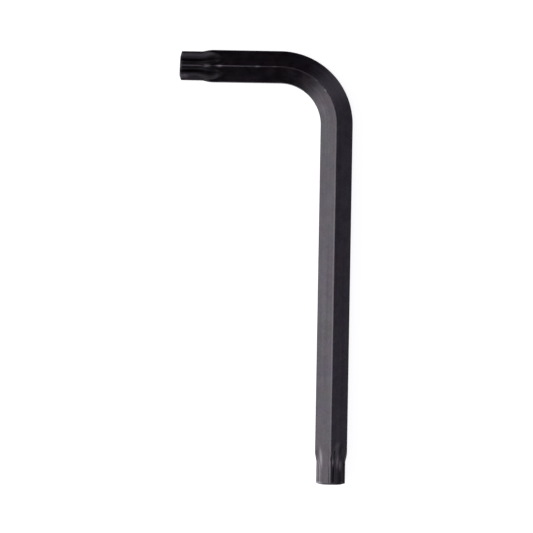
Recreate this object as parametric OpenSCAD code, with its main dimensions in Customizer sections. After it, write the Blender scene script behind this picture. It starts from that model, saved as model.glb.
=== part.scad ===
// Star-drive key: a bar of hexagonal steel, bent once to a right angle, with a
// six-lobe star cut on each end.
//
// The key lies flat: the bend is in the XY plane, one corner of the hexagon
// runs along the top and one along the underside, which is what it rests on.
// The long arm runs along Y and the short arm along X. The origin is the
// middle of the underside of the key's box. Lengths are millimetres.

/* [Hexagonal bar] */
// Width of the bar across its flats
across_flats = 5.5; // [5.2:0.05:6.5]
// Radius of the rounds that drawing leaves on the bar's six corners
corner_round = 0.25; // [0.1:0.05:0.5]

/* [Arms] */
// Length of the long arm, to the outside of the short arm
long_arm = 74.5; // [45:0.5:150]
// Length of the short arm, to the outside of the long arm
short_arm = 30; // [24:0.5:60]
// Radius of the bend on its inside face
bend_inside = 7.1; // [2:0.1:12]

/* [Star] */
// Diameter over the crests of the lobes
lobe_d = 5.6; // [5.4:0.05:5.9]
// Diameter at the bottoms of the flutes
flute_d = 4.05; // [3.8:0.05:4.3]
// Radius of a lobe's crest
lobe_round = 0.35; // [0.25:0.05:0.45]
// Length of the star at its full depth
star_length = 2.7; // [1.5:0.1:8]
// Length over which the flutes run out of the flats
flute_run_out = 4.5; // [2:0.1:8]
// Length over which the bar's corners grow out of the star
shoulder_length = 2.5; // [1:0.1:6]

/* [End faces] */
// Diameter of the flat face on each end
end_face_d = 3; // [1:0.1:4]
// How far the chamfer on each end runs back at the crests of the lobes
end_chamfer = 0.4; // [0.1:0.05:1.2]

/* [Hidden] */

$fn = 96;

sides = 6;
pitch = 360 / sides;      // angle from one flat, or one flute, to the next
half_pitch = pitch / 2;   // angle from a flat to the corner beside it

// Radius of an arc that starts along the bar and has risen by `rise` after `length`
function arc_r(length, rise) = (pow(length, 2) + pow(rise, 2)) / (2 * rise);

// Point `p` turned about the bar's axis by `angle`
function turned(p, angle) = [
    p.x * cos(angle) - p.y * sin(angle),
    p.x * sin(angle) + p.y * cos(angle)
];

// Bar: the corner rounds stand a hair proud of the flats, so that they meet
// them along a clean edge
round_proud = 0.003;
flat_r = across_flats / 2;
corner_centre = (flat_r - corner_round + round_proud) / cos(half_pitch);
crest_r = corner_centre + corner_round;
bend_r = bend_inside + flat_r;

// Star: each flute is an arc that just clears the lobes on either side of it.
// Its radius follows from the triangle of axis, lobe centre and flute centre.
lobe_gap = 0.02;
lobe_centre = lobe_d / 2 - lobe_round;
flute_r = (pow(lobe_centre, 2) + pow(flute_d / 2, 2) - pow(lobe_round + lobe_gap, 2)
           - lobe_centre * flute_d * cos(half_pitch))
        / (2 * (lobe_centre * cos(half_pitch) + lobe_round + lobe_gap - flute_d / 2));
flute_centre = flute_d / 2 + flute_r;

// Where a lobe comes nearest to the flute beside it, for a lobe on the X axis
flute_offset = turned([flute_centre, 0], half_pitch) - [lobe_centre, 0];
lobe_flank = [lobe_centre, 0] + lobe_round * flute_offset / norm(flute_offset);
flank_inset = 0.03;

// Run-outs: each flute leaves the bar along an arc, which starts a hair below
// the bottom of the flute and so crosses it
run_out_dip = 0.03;
run_out_arc = arc_r(flute_run_out, flat_r - flute_d / 2 + run_out_dip);
run_out_path = run_out_arc - flute_r;

// Shoulder: the corners grow from a neck that lies just inside the lobes' flanks
neck_r = norm(lobe_flank) - flank_inset;
shoulder_arc = arc_r(shoulder_length, crest_r - neck_r);

// Section of the bar: a hexagon with flats facing +X and -X and rounded corners
module bar_section() {
    round_end = [flat_r, corner_centre * sin(half_pitch)];
    polygon([
        for (i = [0 : sides - 1], side = [-1, 1])
            turned([round_end.x, side * round_end.y], i * pitch)
    ]);
    for (i = [0 : sides - 1])
        translate(turned([corner_centre, 0], half_pitch + i * pitch))
            circle(r = corner_round);
}

// Section of the star: six lobes on a core, with a flute between each pair
module star_section() {
    core_end = lobe_flank - flank_inset * flute_offset / norm(flute_offset);
    difference() {
        union() {
            polygon([
                for (i = [0 : sides - 1], side = [-1, 1])
                    turned([core_end.x, side * core_end.y], half_pitch + i * pitch)
            ]);
            for (i = [0 : sides - 1])
                translate(turned([lobe_centre, 0], half_pitch + i * pitch))
                    circle(r = lobe_round);
        }
        for (i = [0 : sides - 1])
            translate(turned([flute_centre, 0], i * pitch))
                circle(r = flute_r);
    }
}

// The star, standing on its end face. It reaches on into the bar, where its
// lobes sink into the shoulder.
module star(length) {
    chamfer_slope = (lobe_d - end_face_d) / 2 / end_chamfer;
    intersection() {
        linear_extrude(length) star_section();
        cylinder(r1 = end_face_d / 2, r2 = end_face_d / 2 + chamfer_slope * length, h = length);
    }
}

// Bar whose corners are turned down in a hollow curve to the neck
module shouldered_bar(length) {
    intersection() {
        translate([0, 0, star_length])
            linear_extrude(length - star_length) bar_section();
        rotate_extrude()
            difference() {
                translate([0, star_length])
                    square([crest_r + neck_r, length - star_length]);
                translate([neck_r + shoulder_arc, star_length])
                    circle(r = shoulder_arc);
            }
    }
}

// Ring that cuts the run-out of one flute
module run_out() {
    translate([flute_centre - run_out_dip + run_out_path, 0, star_length])
        rotate([90, 0, 0])
            rotate_extrude()
                translate([run_out_path, 0]) circle(r = flute_r);
}

// One straight arm, standing on its star end
module arm(length) {
    star(star_length + shoulder_length);
    difference() {
        shouldered_bar(length);
        for (i = [0 : sides - 1])
            rotate(i * pitch) run_out();
    }
}

// Quarter turn of bar that joins the two arms
module bend() {
    translate([-bend_r, -bend_r, 0])
        rotate_extrude(angle = 90)
            translate([bend_r, 0]) bar_section();
}

// An arm laid along -Y from the start of the bend, out to its star
module laid_arm(overall) {
    straight = overall - flat_r - bend_r;
    translate([0, -bend_r, 0])
        rotate([90, 0, 0])
            translate([0, 0, straight])
                mirror([0, 0, 1]) arm(straight);
}

module star_key() {
    color([0.12, 0.12, 0.13])
        translate([(short_arm - across_flats) / 2, (long_arm - across_flats) / 2, crest_r]) {
            bend();
            laid_arm(long_arm);
            rotate(-90) laid_arm(short_arm);
        }
}

star_key();
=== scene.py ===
import bpy
import numpy as np
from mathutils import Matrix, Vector


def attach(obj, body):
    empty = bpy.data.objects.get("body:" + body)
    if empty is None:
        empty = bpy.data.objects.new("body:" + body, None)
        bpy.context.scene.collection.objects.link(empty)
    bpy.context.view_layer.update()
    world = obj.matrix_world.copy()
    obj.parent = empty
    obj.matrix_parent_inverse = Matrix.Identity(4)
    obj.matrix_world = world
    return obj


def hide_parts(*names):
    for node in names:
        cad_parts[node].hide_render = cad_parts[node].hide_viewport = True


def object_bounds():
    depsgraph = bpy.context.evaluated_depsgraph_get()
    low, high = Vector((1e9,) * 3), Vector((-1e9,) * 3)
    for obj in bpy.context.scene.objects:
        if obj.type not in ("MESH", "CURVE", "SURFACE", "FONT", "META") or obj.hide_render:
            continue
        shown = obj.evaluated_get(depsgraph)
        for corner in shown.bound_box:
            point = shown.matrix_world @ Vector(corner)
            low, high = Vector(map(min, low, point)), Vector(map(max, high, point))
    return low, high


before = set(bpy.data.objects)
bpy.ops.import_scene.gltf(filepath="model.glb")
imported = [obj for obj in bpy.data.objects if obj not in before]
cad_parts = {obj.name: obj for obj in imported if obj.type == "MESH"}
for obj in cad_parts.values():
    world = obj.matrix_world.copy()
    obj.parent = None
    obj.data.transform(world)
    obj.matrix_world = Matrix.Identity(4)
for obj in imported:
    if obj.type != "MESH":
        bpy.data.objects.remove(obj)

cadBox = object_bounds()
mm = 0.001
print("stage: frame loaded")

# The bar and its star ends: lengths in metres, angles in degrees
key = {
    "acrossFlats": 5.5 * mm,      # width of the bar across its flats
    "cornerRound": 0.25 * mm,     # radius left on the bar's corners by drawing
    "bendInside": 7.1 * mm,       # radius of the bend on its inside
    "lobeDiameter": 5.6 * mm,     # star, over the crests of the lobes
    "fluteDiameter": 4.05 * mm,   # star, at the bottoms of the flutes
    "weakFlute": 4.7 * mm,        # the same at the one flute that is pressed less deep
    "weakFluteTurn": 120,         # where that flute lies round the long tip
    "lobeRound": 0.35 * mm,       # radius of a lobe's crest
    "starLength": 2.7 * mm,       # star at its full depth
    "fluteRunOut": 4.5 * mm,      # length in which the flutes run out of the flats
    "shoulderLength": 2.5 * mm,   # length in which the bar's corners grow out of the star
    "endFace": 3.3 * mm,          # diameter of the flat on each end
    "endChamfer": 0.28 * mm,      # how far its chamfer runs back at the lobes
    "endTilt": 2.0,               # how far the short end is out of square
    "tiltLength": 1.2 * mm,       # length over which that fades
    "neckInset": 0.03 * mm,       # neck of the shoulder below the lobes' flanks
    "shoulderBlend": 0.35 * mm,   # soft edge where the shoulder meets the bar
    "edgeBlend": 0.05 * mm,       # soft edge round the flutes and the chamfer
    "lobeBlend": 0.2,             # share of it where a lobe meets the shoulder
    "blendStart": 0.5 * mm,       # length past the star in which a flute's edge softens
    "runOutBlend": (0.04 * mm, 0.13 * mm),  # more of it where the flutes end: long, short tip
    "runOutSoft": (0.35, 0.5),    # shares of the run-out: where that starts, and how long it grows
    "bendWaver": 0.006 * mm,      # how far the corners waver where the bar was bent
    "waverLengths": (0.31 * mm, 0.47 * mm),  # lengths of the two sines that make the waver
    "waverFade": 1.0 * mm,        # length in which it starts and stops
}

sides = 6
pitch = 2 * np.pi / sides
halfPitch = pitch / 2


# Radius of an arc that starts along the bar and has risen by rise after length:
# the squares of both together, over twice the rise
def arcRadius(length, rise):
    return (length**2 + rise**2) / (2 * rise)


# How far such an arc has risen at a distance along the bar, 0 before its start:
# the radius less the root of its square less the square of the distance
def arcRise(distance, radius):
    furthest = 0.98 * radius      # it stands nearly upright there
    x = np.clip(distance, 0, furthest)
    return radius - np.sqrt(radius**2 - x**2)


# The smaller of two values, with the corner between them rounded over a width:
# the lesser value less a quarter of the width times the square of the overlap
def softMin(a, b, width):
    overlap = np.maximum(width - np.abs(a - b), 0) / np.maximum(width, 1e-9)
    return np.minimum(a, b) - overlap**2 * width / 4


# The larger of two values, rounded the same way
def softMax(a, b, width):
    return -softMin(-a, -b, width)


# A soft step from 0 to 1 as a value passes from 0 to 1: three times its square
# less twice its cube
def smooth(value):
    x = np.clip(value, 0, 1)
    return x * x * (3 - 2 * x)


# A bell: e to the power of minus the square of the distance over the width
def bell(distance, width):
    return np.exp(-(distance / width)**2)


# Radii and distances that follow from the key's sizes
flatR = key["acrossFlats"] / 2
cornerCentre = (flatR - key["cornerRound"]) / np.cos(halfPitch)
crestR = cornerCentre + key["cornerRound"]
bendR = key["bendInside"] + flatR
lobeCentre = key["lobeDiameter"] / 2 - key["lobeRound"]
fluteFloor = key["fluteDiameter"] / 2


# A flute's arc touches the lobes on both sides: its radius comes from the
# triangle of the bar's axis, the lobe's centre and the flute's centre.
def fluteArc(floor):
    radius = (
        lobeCentre**2 + floor**2 - key["lobeRound"]**2
        - 2 * lobeCentre * floor * np.cos(halfPitch)
    ) / (2 * (lobeCentre * np.cos(halfPitch) + key["lobeRound"] - floor))
    return radius, floor + radius


fluteCentre = fluteArc(fluteFloor)[1]

# Radius of the point where lobe and flute touch
toFlute = np.array([
    fluteCentre * np.cos(halfPitch) - lobeCentre, fluteCentre * np.sin(halfPitch),
])
flank = np.array([lobeCentre, 0]) + key["lobeRound"] * toFlute / np.hypot(*toFlute)
neckR = np.hypot(*flank) - key["neckInset"]

longStraight = (cadBox[1][1] - cadBox[0][1]) - flatR - bendR
shortStraight = (cadBox[1][0] - cadBox[0][0]) - flatR - bendR
bendLength = bendR * np.pi / 2
wholeLength = longStraight + bendLength + shortStraight


# 1 inside the bend, with a soft step of the given length at its two ends
def withinBend(along, fade):
    fromStart, toEnd = along - longStraight, longStraight + bendLength - along
    return smooth(fromStart / fade) * smooth(toEnd / fade)


# The bar's own radius: flat distance over the cosine of the angle from the
# flat's middle, or the corner's round where the angle is past the flat's end.
def barRadius(fromFlat):
    fromCorner = halfPitch - fromFlat
    flatEnd = np.arctan2(cornerCentre * np.sin(halfPitch), flatR)
    reach = np.maximum(key["cornerRound"]**2 - (cornerCentre * np.sin(fromCorner))**2, 0)
    corner = cornerCentre * np.cos(fromCorner) + np.sqrt(reach)
    return np.where(fromFlat < flatEnd, flatR / np.cos(fromFlat), corner)


# A lobe's crest: the far side of a circle that stands off the axis. It is its
# centre's distance times the cosine of the angle, plus the root of its radius
# squared less the square of that distance times the sine.
def lobeRadius(fromFlat):
    fromCorner = halfPitch - fromFlat
    reach = key["lobeRound"]**2 - (lobeCentre * np.sin(fromCorner))**2
    far = lobeCentre * np.cos(fromCorner) + np.sqrt(np.maximum(reach, 0))
    return np.where(reach > 0, far, 0)


# A flute: the near side of such a circle, so less the root, where the circle
# moves out along the run-out. Past is the distance from the star's full depth.
def fluteRadius(fromFlat, past, floor):
    arc, centre = fluteArc(floor)
    centre = centre + arcRise(past, arcRadius(key["fluteRunOut"], flatR - floor))
    reach = arc**2 - (centre * np.sin(fromFlat))**2
    near = centre * np.cos(fromFlat) - np.sqrt(np.maximum(reach, 0))
    farOut = 1.0                  # a metre, where the circle isn't met
    return np.where(reach > 0, near, farOut)


# Edges that wear, painted shade on the steep flanks and the scuffed bend: lengths in metres
edges = {
    "cornerWidth": 0.2 * mm,      # worn strip on the bar's corners, from its middle
    "rimWidth": 0.05 * mm,        # the same where a flute cuts the bar
    "rimWear": 0.7,               # how strong that is beside the corners
    "rimStart": 1.0 * mm,         # length past the star in which it starts
    "rimFade": (0.5, 0.4),        # shares of the run-out: where it fades, and how long
    "lipWidth": 0.08 * mm,        # the same where the chamfer starts
    "lipWear": 0.9,
    "flankShadeDepth": 0.73,            # how much painted shade the steepest flank gets
    "flankSlope": (0.35, 0.7),    # slope where that starts, and how much more takes it up
    "flankStart": 0.3 * mm,       # length past the chamfer in which it starts
    "scuffFade": 2.0 * mm,        # length in which the bend's scuffs start and stop
}


# Section radius at an angle and a distance along the bar: the bar turned down
# by the shoulder, with the lobes on it, less the flutes and the end's chamfer.
# Also gives how near each point is to a worn edge, from 0 to 1.
def sectionRadius(turn, along):
    back = np.minimum(along, wholeLength - along)
    past = back - key["starLength"]
    runOut = past / key["fluteRunOut"]
    fromFlat = np.abs((turn + halfPitch) % pitch - halfPitch)
    onLongTip = along < wholeLength / 2

    shoulder = neckR + arcRise(past, arcRadius(key["shoulderLength"], crestR - neckR))
    body = softMin(barRadius(fromFlat), shoulder, key["shoulderBlend"])
    body = softMax(body, lobeRadius(fromFlat), key["lobeBlend"] * key["edgeBlend"])

    weak = np.abs(turn - np.radians(key["weakFluteTurn"])) < halfPitch
    floor = np.where(weak & onLongTip, key["weakFlute"] / 2, fluteFloor)
    flute = fluteRadius(fromFlat, past, floor)
    softStart, softGrowth = key["runOutSoft"]
    width = key["edgeBlend"] * np.clip(past / key["blendStart"], 0, 1)
    softer = np.where(onLongTip, *key["runOutBlend"])
    width = width + softer * smooth((runOut - softStart) / softGrowth)
    cut = softMin(body, flute, width)

    slope = (key["lobeDiameter"] - key["endFace"]) / 2 / key["endChamfer"]
    chamfer = key["endFace"] / 2 + slope * back
    radius = softMin(cut, chamfer, key["edgeBlend"])

    # Bells about each edge, of which the strongest counts
    fadeStart, fadeLength = edges["rimFade"]
    onCorner = bell((halfPitch - fromFlat) * crestR, edges["cornerWidth"])
    rim = bell(body - flute, edges["rimWidth"]) * np.clip(past / edges["rimStart"], 0, 1)
    rim = rim * (1 - smooth((runOut - fadeStart) / fadeLength))
    lip = bell(cut - chamfer, edges["lipWidth"])
    edge = np.maximum(np.maximum(onCorner, edges["rimWear"] * rim), edges["lipWear"] * lip)

    # Where the bar was bent, its corners waver: half the depth times the sum of
    # two sines of the distance along the bar
    shortWave, longWave = key["waverLengths"]
    waver = np.sin(along / shortWave) + np.sin(along / longWave + turn)
    bent = withinBend(along, key["waverFade"])
    radius = radius + key["bendWaver"] / 2 * waver * onCorner * bent
    return radius, edge


# Rubbed marks and nicks, painted highlights and patches of painted shade: millimetres
# from the long tip's end, degrees round the bar (0 is the outside of the bend, 90 the top),
# half length and half width in millimetres, lean in degrees for each millimetre along, strength
# (above 0 for bared metal or a painted highlight, below 0 for painted shade), and depth in
# millimetres.
marksAndPaintedLight = (
    (0.2, 146, 0.35, 0.6, 0.0, 1.0, 0.0),
    (2.2, 143, 3.0, 0.45, 0.0, 0.35, 0.0),
    (4.6, 134, 1.6, 0.26, 0.5, 0.58, 0.0),
    (3.9, 57, 1.0, 0.24, 0.0, 0.75, 0.0),
    (3.3, 46, 0.8, 0.18, 0.0, 0.8, 0.0),
    (4.0, 82, 0.7, 0.15, 0.0, 0.8, 0.0),
    (5.9, 52, 1.1, 0.28, 0.0, -0.55, 0.0),
    (2.8, 95, 2.6, 0.08, 0.0, 0.25, 0.0),
    (1.8, 69, 2.4, 0.3, 0.0, -0.36, 0.0),
    (30.0, 93, 26.0, 0.12, 0.0, 0.15, 0.0),
    (39.0, 150, 15.0, 1.5, 0.0, 0.03, 0.0),
    (66.8, 90, 0.6, 0.10, 0.0, 0.2, 0.01),
    (68.4, 91, 0.25, 0.14, 0.0, 0.5, 0.03),
    (69.1, 89, 0.2, 0.12, 0.0, 0.3, 0.02),
    (70.7, 90, 0.3, 0.12, 0.0, 0.25, 0.01),
    (76.5, 90, 3.5, 0.12, 0.0, -0.4, 0.0),
    (78.4, 90, 0.4, 0.1, 0.0, 0.25, 0.0),
    (81.4, 90, 0.4, 0.14, 0.0, 0.6, 0.02),
    (84.3, 90, 3.0, 0.09, 0.0, 0.18, 0.0),
    (86.8, 90, 0.9, 0.12, 0.0, 0.2, 0.0),
    (87.9, 90, 0.5, 0.22, 0.0, 1.0, 0.03),
    (89.0, 50, 1.6, 0.7, 0.0, -0.85, 0.0),
    (89.0, 75, 1.4, 0.5, 0.0, -1.0, 0.0),
    (89.0, 105, 1.4, 0.5, 0.0, -1.0, 0.0),
    (89.6, 130, 2.2, 0.7, 0.0, -1.0, 0.0),
    (89.2, 90, 0.4, 0.5, 0.0, -0.73, 0.0),
    (93.0, 90, 2.2, 0.1, 0.0, 0.12, 0.0),
    (92.6, 68, 3.2, 0.65, 0.0, -1.0, 0.0),
    (92.6, 113, 3.2, 0.7, 0.0, -1.0, 0.0),
    (93.2, 41, 2.6, 0.3, 0.0, 0.08, 0.0),
    (91.4, 134, 1.4, 0.5, 0.0, -0.35, 0.0),
    (93.9, 139, 0.7, 0.25, 0.0, 0.2, 0.0),
    (90.5, 90, 0.6, 0.3, 0.0, -0.4, 0.0),
)


# Marks and painted light: each is a bell across and along the surface, at its own place: e to the
# power of minus the squares of both distances over its half length and width
def marksAndPaintedLightAt(turn, along):
    rubbedAndHighlit = np.zeros_like(turn)
    paintedShade = np.zeros_like(turn)
    dent = np.zeros_like(turn)
    for place, degrees, halfLong, halfWide, lean, strength, depth in marksAndPaintedLight:
        run = along / mm - place
        side = (turn - np.radians(degrees + lean * run)) * flatR / mm
        share = np.exp(-(run / halfLong)**2 - (side / halfWide)**2)
        # Above 0 a mark bares metal or paints a highlight; below 0 it paints shade
        rubbedAndHighlit = np.maximum(rubbedAndHighlit, strength * share)
        paintedShade = np.maximum(paintedShade, -strength * share)
        dent = np.maximum(dent, depth * mm * share)
    return rubbedAndHighlit, paintedShade, dent


# Painted shade on the steep flanks. Their slope is the change in radius for a small turn,
# over the radius and the turn; a soft step carries it up to the darkest.
def flankShadeShare(turn, along):
    small = 0.01                  # radians
    ahead = sectionRadius(turn + small, along)[0]
    behind = sectionRadius(turn - small, along)[0]
    steep = np.abs(ahead - behind) / (small * (ahead + behind))
    start, growth = edges["flankSlope"]
    return edges["flankShadeDepth"] * smooth((steep - start) / growth)


# Steps of the mesh: points on each side of the bar, and rings in each stretch
steps = {
    "perSide": 36,
    "crowding": 0.6,              # how much the points crowd at the bar's corners
    "lip": 10,                    # rings on the chamfer
    "lipMargin": 0.1 * mm,        # and this far past it
    "star": 14,
    "runOut": 62,
    "runOutGap": 0.06 * mm,       # from the star's last ring to the run-out's first
    "runOutMargin": 0.5 * mm,
    "longArm": 46,
    "bend": 124,
    "bendMargin": 1.0 * mm,
    "shortArm": 48,
    "cap": 6,                     # rings on an end face
    "capShares": (0.12, 0.96),    # how large the smallest and the largest of them are
}


# Places of the rings along the bar, close together where the shape changes.
# The second list shrinks the rings that close each end face.
def ringPlaces():
    tipEnd = key["starLength"] + key["fluteRunOut"] + steps["runOutMargin"]
    bendStart = longStraight - steps["bendMargin"]
    bendEnd = longStraight + bendLength + steps["bendMargin"]
    lip = np.linspace(0, key["endChamfer"] + steps["lipMargin"], steps["lip"])
    star = np.linspace(lip[-1] + steps["lipMargin"], key["starLength"], steps["star"])
    runOut = np.linspace(key["starLength"] + steps["runOutGap"], tipEnd, steps["runOut"])
    tip = np.concatenate([lip, star, runOut])
    longArm = np.linspace(tipEnd, bendStart, steps["longArm"])[1:]
    bend = np.linspace(bendStart, bendEnd, steps["bend"])[1:]
    shortArm = np.linspace(bendEnd, wholeLength - tipEnd, steps["shortArm"])[1:-1]
    rings = np.concatenate([tip, longArm, bend, shortArm, (wholeLength - tip)[::-1]])
    cap = np.linspace(*steps["capShares"], steps["cap"])
    along = np.concatenate([np.zeros(len(cap)), rings, np.full(len(cap), wholeLength)])
    shrink = np.concatenate([cap, np.ones(len(rings)), cap[::-1]])
    return along, shrink


# Angles round the section, from the underside corner, closer at the corners:
# even steps plus a sine that slows them down there.
def turnAngles():
    u = np.arange(steps["perSide"]) * 2 / steps["perSide"] - 1
    step = halfPitch * (u + steps["crowding"] / np.pi * np.sin(np.pi * u))
    flatMiddles = -np.pi / 2 + halfPitch + pitch * np.arange(sides)
    return (flatMiddles[:, None] + step[None, :]).ravel()


# Where the points lie: the section stands across the bar's centre line, which
# is straight, turns through the bend and is straight again.
def keyPoints(turn, along, radius):
    # The short end was sheared a little out of square: it falls back towards
    # the outside of the bend, by its distance from the face's inner rim
    nearEnd = smooth((along - wholeLength) / key["tiltLength"] + 1)
    fromRim = np.maximum(radius * np.cos(turn) + key["endFace"] / 2, 0)
    place = along - np.tan(np.radians(key["endTilt"])) * fromRim * nearEnd

    angle = np.clip((along - longStraight) / bendR, 0, np.pi / 2)
    outX, outY = np.cos(angle), np.sin(angle)
    centreX = cadBox[1][0] - flatR - bendR
    centreY = cadBox[1][1] - flatR - bendR
    x = centreX + bendR * outX - np.maximum(place - longStraight - bendLength, 0)
    y = centreY + bendR * outY + np.minimum(along - longStraight, 0)
    z = np.full_like(x, (cadBox[0][2] + cadBox[1][2]) / 2)
    return np.stack([
        x + radius * np.cos(turn) * outX,
        y + radius * np.cos(turn) * outY,
        z + radius * np.sin(turn),
    ], axis=-1)


# Four-sided faces between the rings, then a fan round the middle of each end face
def keyFaces(rows, columns):
    here = np.arange(rows * columns).reshape(rows, columns)
    nextTurn = np.roll(here, -1, axis=1)
    quads = np.stack([here[:-1], here[1:], nextTurn[1:], nextTurn[:-1]], axis=-1).reshape(-1, 4)
    first, last = rows * columns, rows * columns + 1
    startFan = np.stack([np.full(columns, first), here[0], nextTurn[0]], axis=-1)
    endFan = np.stack([np.full(columns, last), nextTurn[-1], here[-1]], axis=-1)
    return quads.tolist() + startFan.tolist() + endFan.tolist()


# The faces' corners on a map in millimetres: round the bar, and along it. Past
# each end the map runs on, from the rim of the end face to its middle.
def keyMap(turns, along, shrink):
    rows, columns = len(along), len(turns)
    across = (np.append(turns, turns[0] + 2 * np.pi) + np.pi / 2) * flatR / mm
    inset = (1 - shrink) * key["endFace"] / 2
    length = np.where(along < wholeLength / 2, along - inset, along + inset) / mm
    corners = []
    for rowStep, columnStep in ((0, 0), (1, 0), (1, 1), (0, 1)):
        u = np.broadcast_to(across[columnStep:columns + columnStep], (rows - 1, columns))
        v = np.broadcast_to(length[rowStep:rows - 1 + rowStep, None], (rows - 1, columns))
        corners.append(np.stack([u, v], axis=-1))
    parts = [np.stack(corners, axis=2).reshape(-1, 2)]

    left, right = across[:-1], across[1:]
    faceRadius = key["endFace"] / 2 / mm
    for middle, rim, sideA, sideB in (
        (-faceRadius, length[0], left, right),
        (wholeLength / mm + faceRadius, length[-1], right, left),
    ):
        fan = [((left + right) / 2, middle), (sideA, rim), (sideB, rim)]
        fan = [np.stack([u, np.full(columns, v)], axis=-1) for u, v in fan]
        parts.append(np.stack(fan, axis=1).reshape(-1, 2))
    return np.concatenate(parts).astype(np.float32).ravel()


# The whole key as one closed mesh, with its map, its shares and its two finishes
def buildKey():
    along, shrink = ringPlaces()
    turns = turnAngles()
    s, turn = np.meshgrid(along, turns, indexing="ij")
    radius, edge = sectionRadius(turn, s)
    rubbedAndHighlit, paintedShade, dent = marksAndPaintedLightAt(turn, s)
    points = keyPoints(turn, s, (radius - dent) * shrink[:, None])
    poles = np.array([points[0].mean(axis=0), points[-1].mean(axis=0)])
    vertices = np.concatenate([points.reshape(-1, 3), poles])

    rows, columns = s.shape
    mesh = bpy.data.meshes.new("starKey")
    mesh.from_pydata(vertices.tolist(), [], keyFaces(rows, columns))
    mesh.validate()
    barMap = mesh.uv_layers.new(name="barMap")
    barMap.uv.foreach_set("vector", keyMap(turns, along, shrink))

    # Shares from 0 to 1 that the finish reads, at each point
    back = np.minimum(s, wholeLength - s)
    drawn = smooth((back - key["starLength"]) / key["fluteRunOut"])
    # painted shade on the flutes' steep flanks, none on the drawn bar
    paintedFlankShade = flankShadeShare(turn, s) * (1 - drawn)
    offEnd = smooth((back - key["endChamfer"]) / edges["flankStart"])
    shares = {
        "edge": edge * (1 - paintedShade),
        # rubbed wear and painted highlights
        "rubbedAndHighlit": rubbedAndHighlit * (shrink[:, None] == 1),     # none on the end faces
        # painted shade: the dark patches and the steep flanks, none on the chamfer
        "paintedShade": np.maximum(paintedShade, paintedFlankShade) * offEnd,
        "drawn": drawn,
        "bent": withinBend(s, edges["scuffFade"]),
    }
    for name, value in shares.items():
        share = mesh.attributes.new(name, "FLOAT", "POINT")
        share.data.foreach_set("value", np.append(value.ravel(), [0, 0]).astype(np.float32))

    # The chamfer and face of each end have a finish of their own
    ringBack = np.minimum(along, wholeLength - along)
    onEnd = np.repeat(np.maximum(ringBack[:-1], ringBack[1:]) < key["endChamfer"], columns)
    onEnd = np.append(onEnd, np.ones(2 * columns, bool))
    mesh.polygons.foreach_set("material_index", onEnd.astype(np.int32))
    mesh.polygons.foreach_set("use_smooth", np.ones(len(onEnd), bool))
    return mesh


mesh = buildKey()
print("stage: key mesh,", len(mesh.vertices), "vertices,", len(mesh.polygons), "faces")

# The finish: black oxide on drawn steel. Colours are linear, lengths are mm.
finish = {
    "oxide": (0.0484, 0.0446, 0.0510),    # the oxide, seen straight on
    "baredAndHighlit": (0.225, 0.210, 0.228),       # where rubbing has thinned it, also the colour of the painted highlights
    "paintedShadeDepth": 0.85,                         # how much darker the painted shade makes the oxide at its fullest
    "edgeTint": (0.45, 0.43, 0.47),       # dulls the shine at a glancing angle
    "roughness": 0.34,
    "endRoughness": 0.42,
    "roughnessSwing": 0.07,       # how much it differs from blotch to blotch
    "blotch": 1.5,                # size of the oxide's blotches
    "blotchAmount": 0.11,
    "hueAmount": 0.12,
    "grain": 0.22,                # size of its fine grain
    "grainAmount": 0.12,
    "grainHeight": 0.5,           # share of the lines' height
    "lineWidth": 0.3,             # width of the drawn lines
    "lineLength": 14.0,
    "lineAmount": 0.12,
    "starLines": 0.3,             # share of the lines that is left on the stars
    "scuffWidth": 0.16,           # scuffs along the bend
    "scuffLength": 2.6,
    "scuffAmount": 0.06,
    "scuffRange": (0.55, 0.95),   # which of their lines show, faintest and fullest
    "turnedWidth": 0.09,          # width of the turned rings on the ends
    "turnedLength": 8.0,
    "wear": 0.15,                 # how far the edges are bared
    "wearSize": 0.6,              # size of the breaks in that
    "wearLift": (0.75, 0.72),     # how much an edge lifts their noise, and what is taken off
    "wearRange": (0.4, 0.75),     # what of the sum shows, faintest and fullest
    "bump": 0.0012,               # height of the lines
}


# A node with its settings, and its inputs as values or as other nodes' outputs
def addNode(tree, kind, inputs=None, **settings):
    node = tree.nodes.new(kind)
    for name, value in settings.items():
        setattr(node, name, value)
    for name, value in (inputs or {}).items():
        if isinstance(value, bpy.types.NodeSocket):
            tree.links.new(value, node.inputs[name])
        else:
            node.inputs[name].default_value = value
    return node


# One step of reckoning. MULTIPLY_ADD gives a times b plus c; the rest leave c out.
def addMath(tree, operation, a, b=0.0, c=0.0, clamp=False):
    inputs = {0: a, 1: b, 2: c}
    return addNode(tree, "ShaderNodeMath", inputs, operation=operation, use_clamp=clamp).outputs[0]


def addVectorMath(tree, operation, inputs):
    return addNode(tree, "ShaderNodeVectorMath", inputs, operation=operation).outputs[0]


# A value carried from one range to another, and kept within it
def addRange(tree, value, fromLow, fromHigh, toLow, toHigh, kind="LINEAR"):
    node = addNode(tree, "ShaderNodeMapRange", {
        "Value": value, "From Min": fromLow, "From Max": fromHigh,
        "To Min": toLow, "To Max": toHigh,
    }, interpolation_type=kind, clamp=True)
    return node.outputs["Result"]


def addNoise(tree, place, scale, detail, roughness, distortion=0.0, dimensions="3D"):
    return addNode(tree, "ShaderNodeTexNoise", {
        "Vector": place, "Scale": scale, "Detail": detail,
        "Roughness": roughness, "Distortion": distortion,
    }, noise_dimensions=dimensions).outputs


# A place in metres, counted in steps of a size in millimetres
def addSteps(tree, place, size):
    perMetre = addMath(tree, "DIVIDE", 1 / mm, size)
    return addVectorMath(tree, "SCALE", {0: place, "Scale": perMetre})


def addShare(tree, name):
    return addNode(tree, "ShaderNodeAttribute", attribute_name=name).outputs["Fac"]


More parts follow.
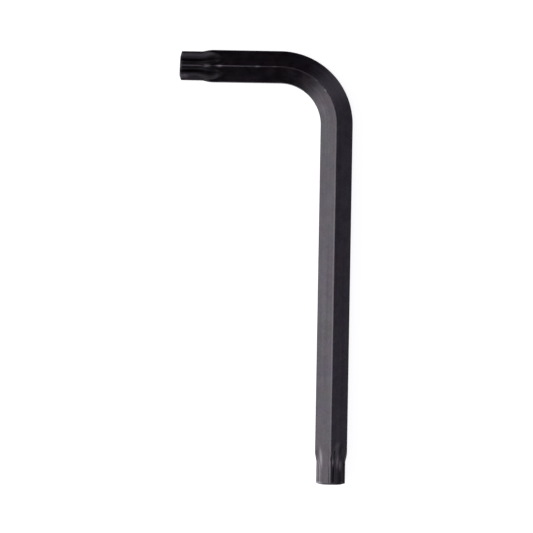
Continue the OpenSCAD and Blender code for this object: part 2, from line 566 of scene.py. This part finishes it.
def newGroup(name, inputs, outputs):
    group = bpy.data.node_groups.new(name, "ShaderNodeTree")
    for side, sockets in (("INPUT", inputs), ("OUTPUT", outputs)):
        for label, kind in sockets:
            group.interface.new_socket(label, in_out=side, socket_type="NodeSocket" + kind)
    given = addNode(group, "NodeGroupInput").outputs
    result = addNode(group, "NodeGroupOutput").inputs
    return group, given, result


# Blotches of an oxide: a shade about 1, a hue about white and a soft 0 to 1
def oxideGroup():
    group, given, result = newGroup(
        "oxideBlotches",
        [("Place", "Vector"), ("Size", "Float"), ("Amount", "Float"), ("Hue Amount", "Float")],
        [("Shade", "Float"), ("Hue", "Color"), ("Blotch", "Float")],
    )
    place = addSteps(group, given["Place"], given["Size"])
    cloud = addNoise(group, place, scale=1.0, detail=4.0, roughness=0.6, distortion=0.4)["Fac"]
    blotch = addRange(group, cloud, 0.3, 0.7, 0, 1, "SMOOTHSTEP")
    swing = addRange(group, blotch, 0, 1, -1, 1)
    shade = addMath(group, "MULTIPLY_ADD", swing, given["Amount"], 1.0)
    patches = addNoise(group, place, scale=0.55, detail=2.0, roughness=0.5, distortion=0.2)["Color"]
    hue = addNode(group, "ShaderNodeMix", {
        "Factor": given["Hue Amount"], 6: (0.5, 0.5, 0.5, 1), 7: patches,
    }, data_type="RGBA", clamp_result=False).outputs[2]
    hue = addVectorMath(group, "SCALE", {0: hue, "Scale": 2.0})
    group.links.new(shade, result["Shade"])
    group.links.new(hue, result["Hue"])
    group.links.new(blotch, result["Blotch"])
    return group


# Fine lines along one way of the map: noise squeezed across and drawn out along
def lineGroup():
    group, given, result = newGroup(
        "drawnLines",
        [("Map", "Vector"), ("Width", "Float"), ("Length", "Float")],
        [("Line", "Float")],
    )
    stretch = addNode(group, "ShaderNodeCombineXYZ", {
        0: given["Width"], 1: given["Length"], 2: 1.0,
    }).outputs[0]
    place = addVectorMath(group, "DIVIDE", {0: given["Map"], 1: stretch})
    strands = addNoise(group, place, scale=0.5, detail=3.0, roughness=0.55, dimensions="2D")["Fac"]
    group.links.new(addRange(group, strands, 0.25, 0.75, 0, 1), result["Line"])
    return group


# Worn edges: noise, plus a share of the nearness of an edge, less a fixed amount,
# of which only what then stands high is worn
def wearGroup():
    group, given, result = newGroup(
        "edgeWear",
        [("Place", "Vector"), ("Edge", "Float"), ("Size", "Float"), ("Amount", "Float")],
        [("Worn", "Float")],
    )
    lift, drop = finish["wearLift"]
    place = addSteps(group, given["Place"], given["Size"])
    breaks = addNoise(group, place, scale=1.0, detail=5.0, roughness=0.65)["Fac"]
    level = addMath(group, "SUBTRACT", addMath(group, "MULTIPLY", given["Edge"], lift), drop)
    total = addMath(group, "ADD", breaks, level)
    worn = addRange(group, total, *finish["wearRange"], 0, 1, "SMOOTHSTEP")
    group.links.new(addMath(group, "MULTIPLY", worn, given["Amount"]), result["Worn"])
    return group


groups = {"oxide": oxideGroup(), "line": lineGroup(), "wear": wearGroup()}


def useGroup(tree, name, inputs):
    return addNode(tree, "ShaderNodeGroup", inputs, node_tree=groups[name]).outputs


# Blackened steel. Lines run along the bar, or round it on the turned ends.
def blackenedSteel(name, roughness, lineWidth, lineLength):
    material = bpy.data.materials.new(name)
    material.use_nodes = True
    tree = material.node_tree
    shader = tree.nodes["Principled BSDF"]
    place = addNode(tree, "ShaderNodeTexCoord").outputs["Object"]
    barMap = addNode(tree, "ShaderNodeUVMap", uv_map="barMap").outputs["UV"]

    blotches = useGroup(tree, "oxide", {
        "Place": place, "Size": finish["blotch"],
        "Amount": finish["blotchAmount"], "Hue Amount": finish["hueAmount"],
    })
    grain = useGroup(tree, "oxide", {
        "Place": place, "Size": finish["grain"],
        "Amount": finish["grainAmount"], "Hue Amount": 0.0,
    })
    line = useGroup(tree, "line", {
        "Map": barMap, "Width": lineWidth, "Length": lineLength,
    })["Line"]
    worn = useGroup(tree, "wear", {
        "Place": place, "Edge": addShare(tree, "edge"),
        "Size": finish["wearSize"], "Amount": finish["wear"],
    })["Worn"]
    scuff = useGroup(tree, "line", {
        "Map": barMap, "Width": finish["scuffWidth"], "Length": finish["scuffLength"],
    })["Line"]

    # Lines fade out where the star was formed, and the bend is scuffed along the bar
    starLines = finish["starLines"]
    lineShare = addMath(tree, "MULTIPLY_ADD", addShare(tree, "drawn"), 1 - starLines, starLines)
    lineSwing = addMath(tree, "MULTIPLY", addRange(tree, line, 0, 1, -1, 1), lineShare)
    lineShade = addMath(tree, "MULTIPLY_ADD", lineSwing, finish["lineAmount"], 1.0)
    scuff = addRange(tree, scuff, *finish["scuffRange"], 0, finish["scuffAmount"], "SMOOTHSTEP")
    scuff = addMath(tree, "MULTIPLY", scuff, addShare(tree, "bent"))

    # Oxide times its hue and all the shades, painted shade among them, and bared metal over it
    # where rubbed or where a highlight is painted
    paintedShadeFactor = addMath(tree, "MULTIPLY_ADD", addShare(tree, "paintedShade"), -finish["paintedShadeDepth"], 1.0)
    shade = addMath(tree, "MULTIPLY", blotches["Shade"], grain["Shade"])
    shade = addMath(tree, "MULTIPLY", shade, lineShade)
    shade = addMath(tree, "MULTIPLY", shade, paintedShadeFactor)
    oxide = addVectorMath(tree, "MULTIPLY", {0: blotches["Hue"], 1: finish["oxide"]})
    oxide = addVectorMath(tree, "SCALE", {0: oxide, "Scale": shade})
    rubbedAndHighlit = addMath(tree, "MAXIMUM", worn, scuff)
    rubbedAndHighlit = addMath(tree, "MAXIMUM", rubbedAndHighlit, addShare(tree, "rubbedAndHighlit"))
    colour = addNode(tree, "ShaderNodeMix", {
        "Factor": rubbedAndHighlit, 6: oxide, 7: (*finish["baredAndHighlit"], 1),
    }, data_type="RGBA").outputs[2]
    tree.links.new(colour, shader.inputs["Base Color"])

    # Blotches are rougher, and rubbed metal and painted highlights are smoother
    swing = finish["roughnessSwing"]
    rough = addMath(tree, "SUBTRACT", blotches["Blotch"], rubbedAndHighlit)
    rough = addMath(tree, "MULTIPLY_ADD", rough, swing, roughness - swing / 2)
    tree.links.new(rough, shader.inputs["Roughness"])

    height = addMath(tree, "MULTIPLY", line, lineShare)
    grainHeight = addMath(tree, "MULTIPLY", grain["Blotch"], finish["grainHeight"])
    bump = addNode(tree, "ShaderNodeBump", {
        "Height": addMath(tree, "ADD", height, grainHeight),
        "Strength": 1.0, "Distance": finish["bump"] * mm,
    }).outputs["Normal"]
    tree.links.new(bump, shader.inputs["Normal"])

    shader.inputs["Metallic"].default_value = 1
    shader.inputs["Specular Tint"].default_value = (*finish["edgeTint"], 1)
    return material


# The turned rings run round the bar: on the map they are wide across and narrow along
for settings in (
    ("drawnSteel", finish["roughness"], finish["lineWidth"], finish["lineLength"]),
    ("turnedEnd", finish["endRoughness"], finish["turnedLength"], finish["turnedWidth"]),
):
    mesh.materials.append(blackenedSteel(*settings))
starKey = bpy.data.objects.new("starKeyBody", mesh)
bpy.context.scene.collection.objects.link(starKey)
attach(starKey, "root")
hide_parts("star_key")
print("stage: finish")

studio = {
    "floorRadius": 3.0,
    "floorColour": (0.45, 0.45, 0.45),
    "floorGlow": 0.86,                 # what the camera and reflections see of it
    "worldColour": (0.022, 0.002, 0.020),
    "cameraHeight": 0.9,
    "cameraReach": 20,                 # how far the camera sees
    "viewWidth": 91.9 * mm,
    "roll": 1.0,                       # degrees
    "aim": (0.58 * mm, 0.12 * mm),     # to the right and up from the key's middle
    "lampDistance": 0.6,
}

# Soft boxes that face the key: degrees round from +X and up from the floor,
# degrees wide and high, brightness where 1 is white, and colour
lamps = {
    "windowLow": (186, 9, 54, 16, 3.1, (1.0, 1.0, 1.0)),
    "windowMiddle": (188, 27, 60, 18, 3.4, (1.0, 1.0, 1.0)),
    "windowHigh": (188, 45, 54, 16, 2.6, (1.0, 1.0, 1.0)),
    "windowTop": (184, 64, 40, 16, 1.6, (1.0, 1.0, 1.0)),
    "backRight": (38, 24, 22, 46, 0.98, (1.04, 1.0, 1.18)),
    "right": (5, 24, 26, 46, 0.35, (1.04, 1.0, 1.18)),
    "frontRight": (340, 17, 24, 32, 0.80, (1.04, 1.0, 1.18)),
    "fillBack": (140, 26, 26, 44, 0.7, (1.0, 1.0, 1.04)),
    "fillFront": (316, 24, 28, 44, 0.7, (1.0, 1.0, 1.04)),
    "highBack": (108, 55, 30, 18, 0.55, (1.04, 1.0, 1.1)),
    "highFront": (305, 60, 50, 18, 0.58, (1.04, 1.0, 1.1)),
    "top": (180, 84, 34, 24, 1.55, (1.04, 1.0, 1.1)),
}


def buildFloor():
    r = studio["floorRadius"]
    floorMesh = bpy.data.meshes.new("floor")
    floorMesh.from_pydata([(-r, -r, 0), (r, -r, 0), (r, r, 0), (-r, r, 0)], [], [(0, 1, 2, 3)])
    floor = bpy.data.objects.new("floor", floorMesh)
    bpy.context.scene.collection.objects.link(floor)
    material = bpy.data.materials.new("paleFloor")
    material.use_nodes = True
    tree = material.node_tree
    tree.nodes.clear()
    path = addNode(tree, "ShaderNodeLightPath").outputs
    seen = addMath(tree, "ADD", path["Is Camera Ray"], path["Is Glossy Ray"], clamp=True)
    seen = addMath(tree, "ADD", seen, path["Is Transmission Ray"], clamp=True)
    strength = addMath(tree, "MULTIPLY", seen, studio["floorGlow"])
    glow = addNode(tree, "ShaderNodeEmission", {"Strength": strength}).outputs[0]
    paint = addNode(tree, "ShaderNodeBsdfDiffuse", {
        "Color": (*studio["floorColour"], 1),
    }).outputs[0]
    both = addNode(tree, "ShaderNodeAddShader", {0: paint, 1: glow}).outputs[0]
    addNode(tree, "ShaderNodeOutputMaterial", {"Surface": both})
    floorMesh.materials.append(material)


# A lamp's power is its brightness times pi times its area
def addLamp(name, azimuth, elevation, width, height, brightness, colour):
    far = studio["lampDistance"]
    a, e = np.radians(azimuth), np.radians(elevation)
    place = far * Vector((np.cos(e) * np.cos(a), np.cos(e) * np.sin(a), np.sin(e)))
    lamp = bpy.data.lights.new(name, "AREA")
    lamp.shape = "RECTANGLE"
    lamp.size = 2 * far * np.tan(np.radians(width) / 2)
    lamp.size_y = 2 * far * np.tan(np.radians(height) / 2)
    lamp.energy = brightness * np.pi * lamp.size * lamp.size_y
    lamp.color = colour
    box = bpy.data.objects.new(name, lamp)
    box.location = place
    box.rotation_euler = place.to_track_quat("Z", "Y").to_euler()
    box.visible_camera = False
    bpy.context.scene.collection.objects.link(box)


buildFloor()
for name, values in lamps.items():
    addLamp(name, *values)

world = bpy.data.worlds.new("studio")
world.use_nodes = True
world.node_tree.nodes["Background"].inputs["Color"].default_value = (*studio["worldColour"], 1)
bpy.context.scene.world = world

cameraData = bpy.data.cameras.new("camera")
cameraData.lens = cameraData.sensor_width * studio["cameraHeight"] / studio["viewWidth"]
cameraData.clip_end = studio["cameraReach"]
camera = bpy.data.objects.new("camera", cameraData)
roll = np.radians(studio["roll"])
right = Vector((np.cos(roll), np.sin(roll), 0))
up = Vector((-np.sin(roll), np.cos(roll), 0))
middle = Vector((
    (cadBox[0][0] + cadBox[1][0]) / 2, (cadBox[0][1] + cadBox[1][1]) / 2, cadBox[1][2] / 2,
))
aim = middle + right * studio["aim"][0] + up * studio["aim"][1]
camera.location = aim + Vector((0, 0, studio["cameraHeight"]))
camera.rotation_euler = (0, 0, roll)
bpy.context.scene.collection.objects.link(camera)
bpy.context.scene.camera = camera
bpy.context.scene.view_settings.view_transform = "Standard"
print("stage: studio")
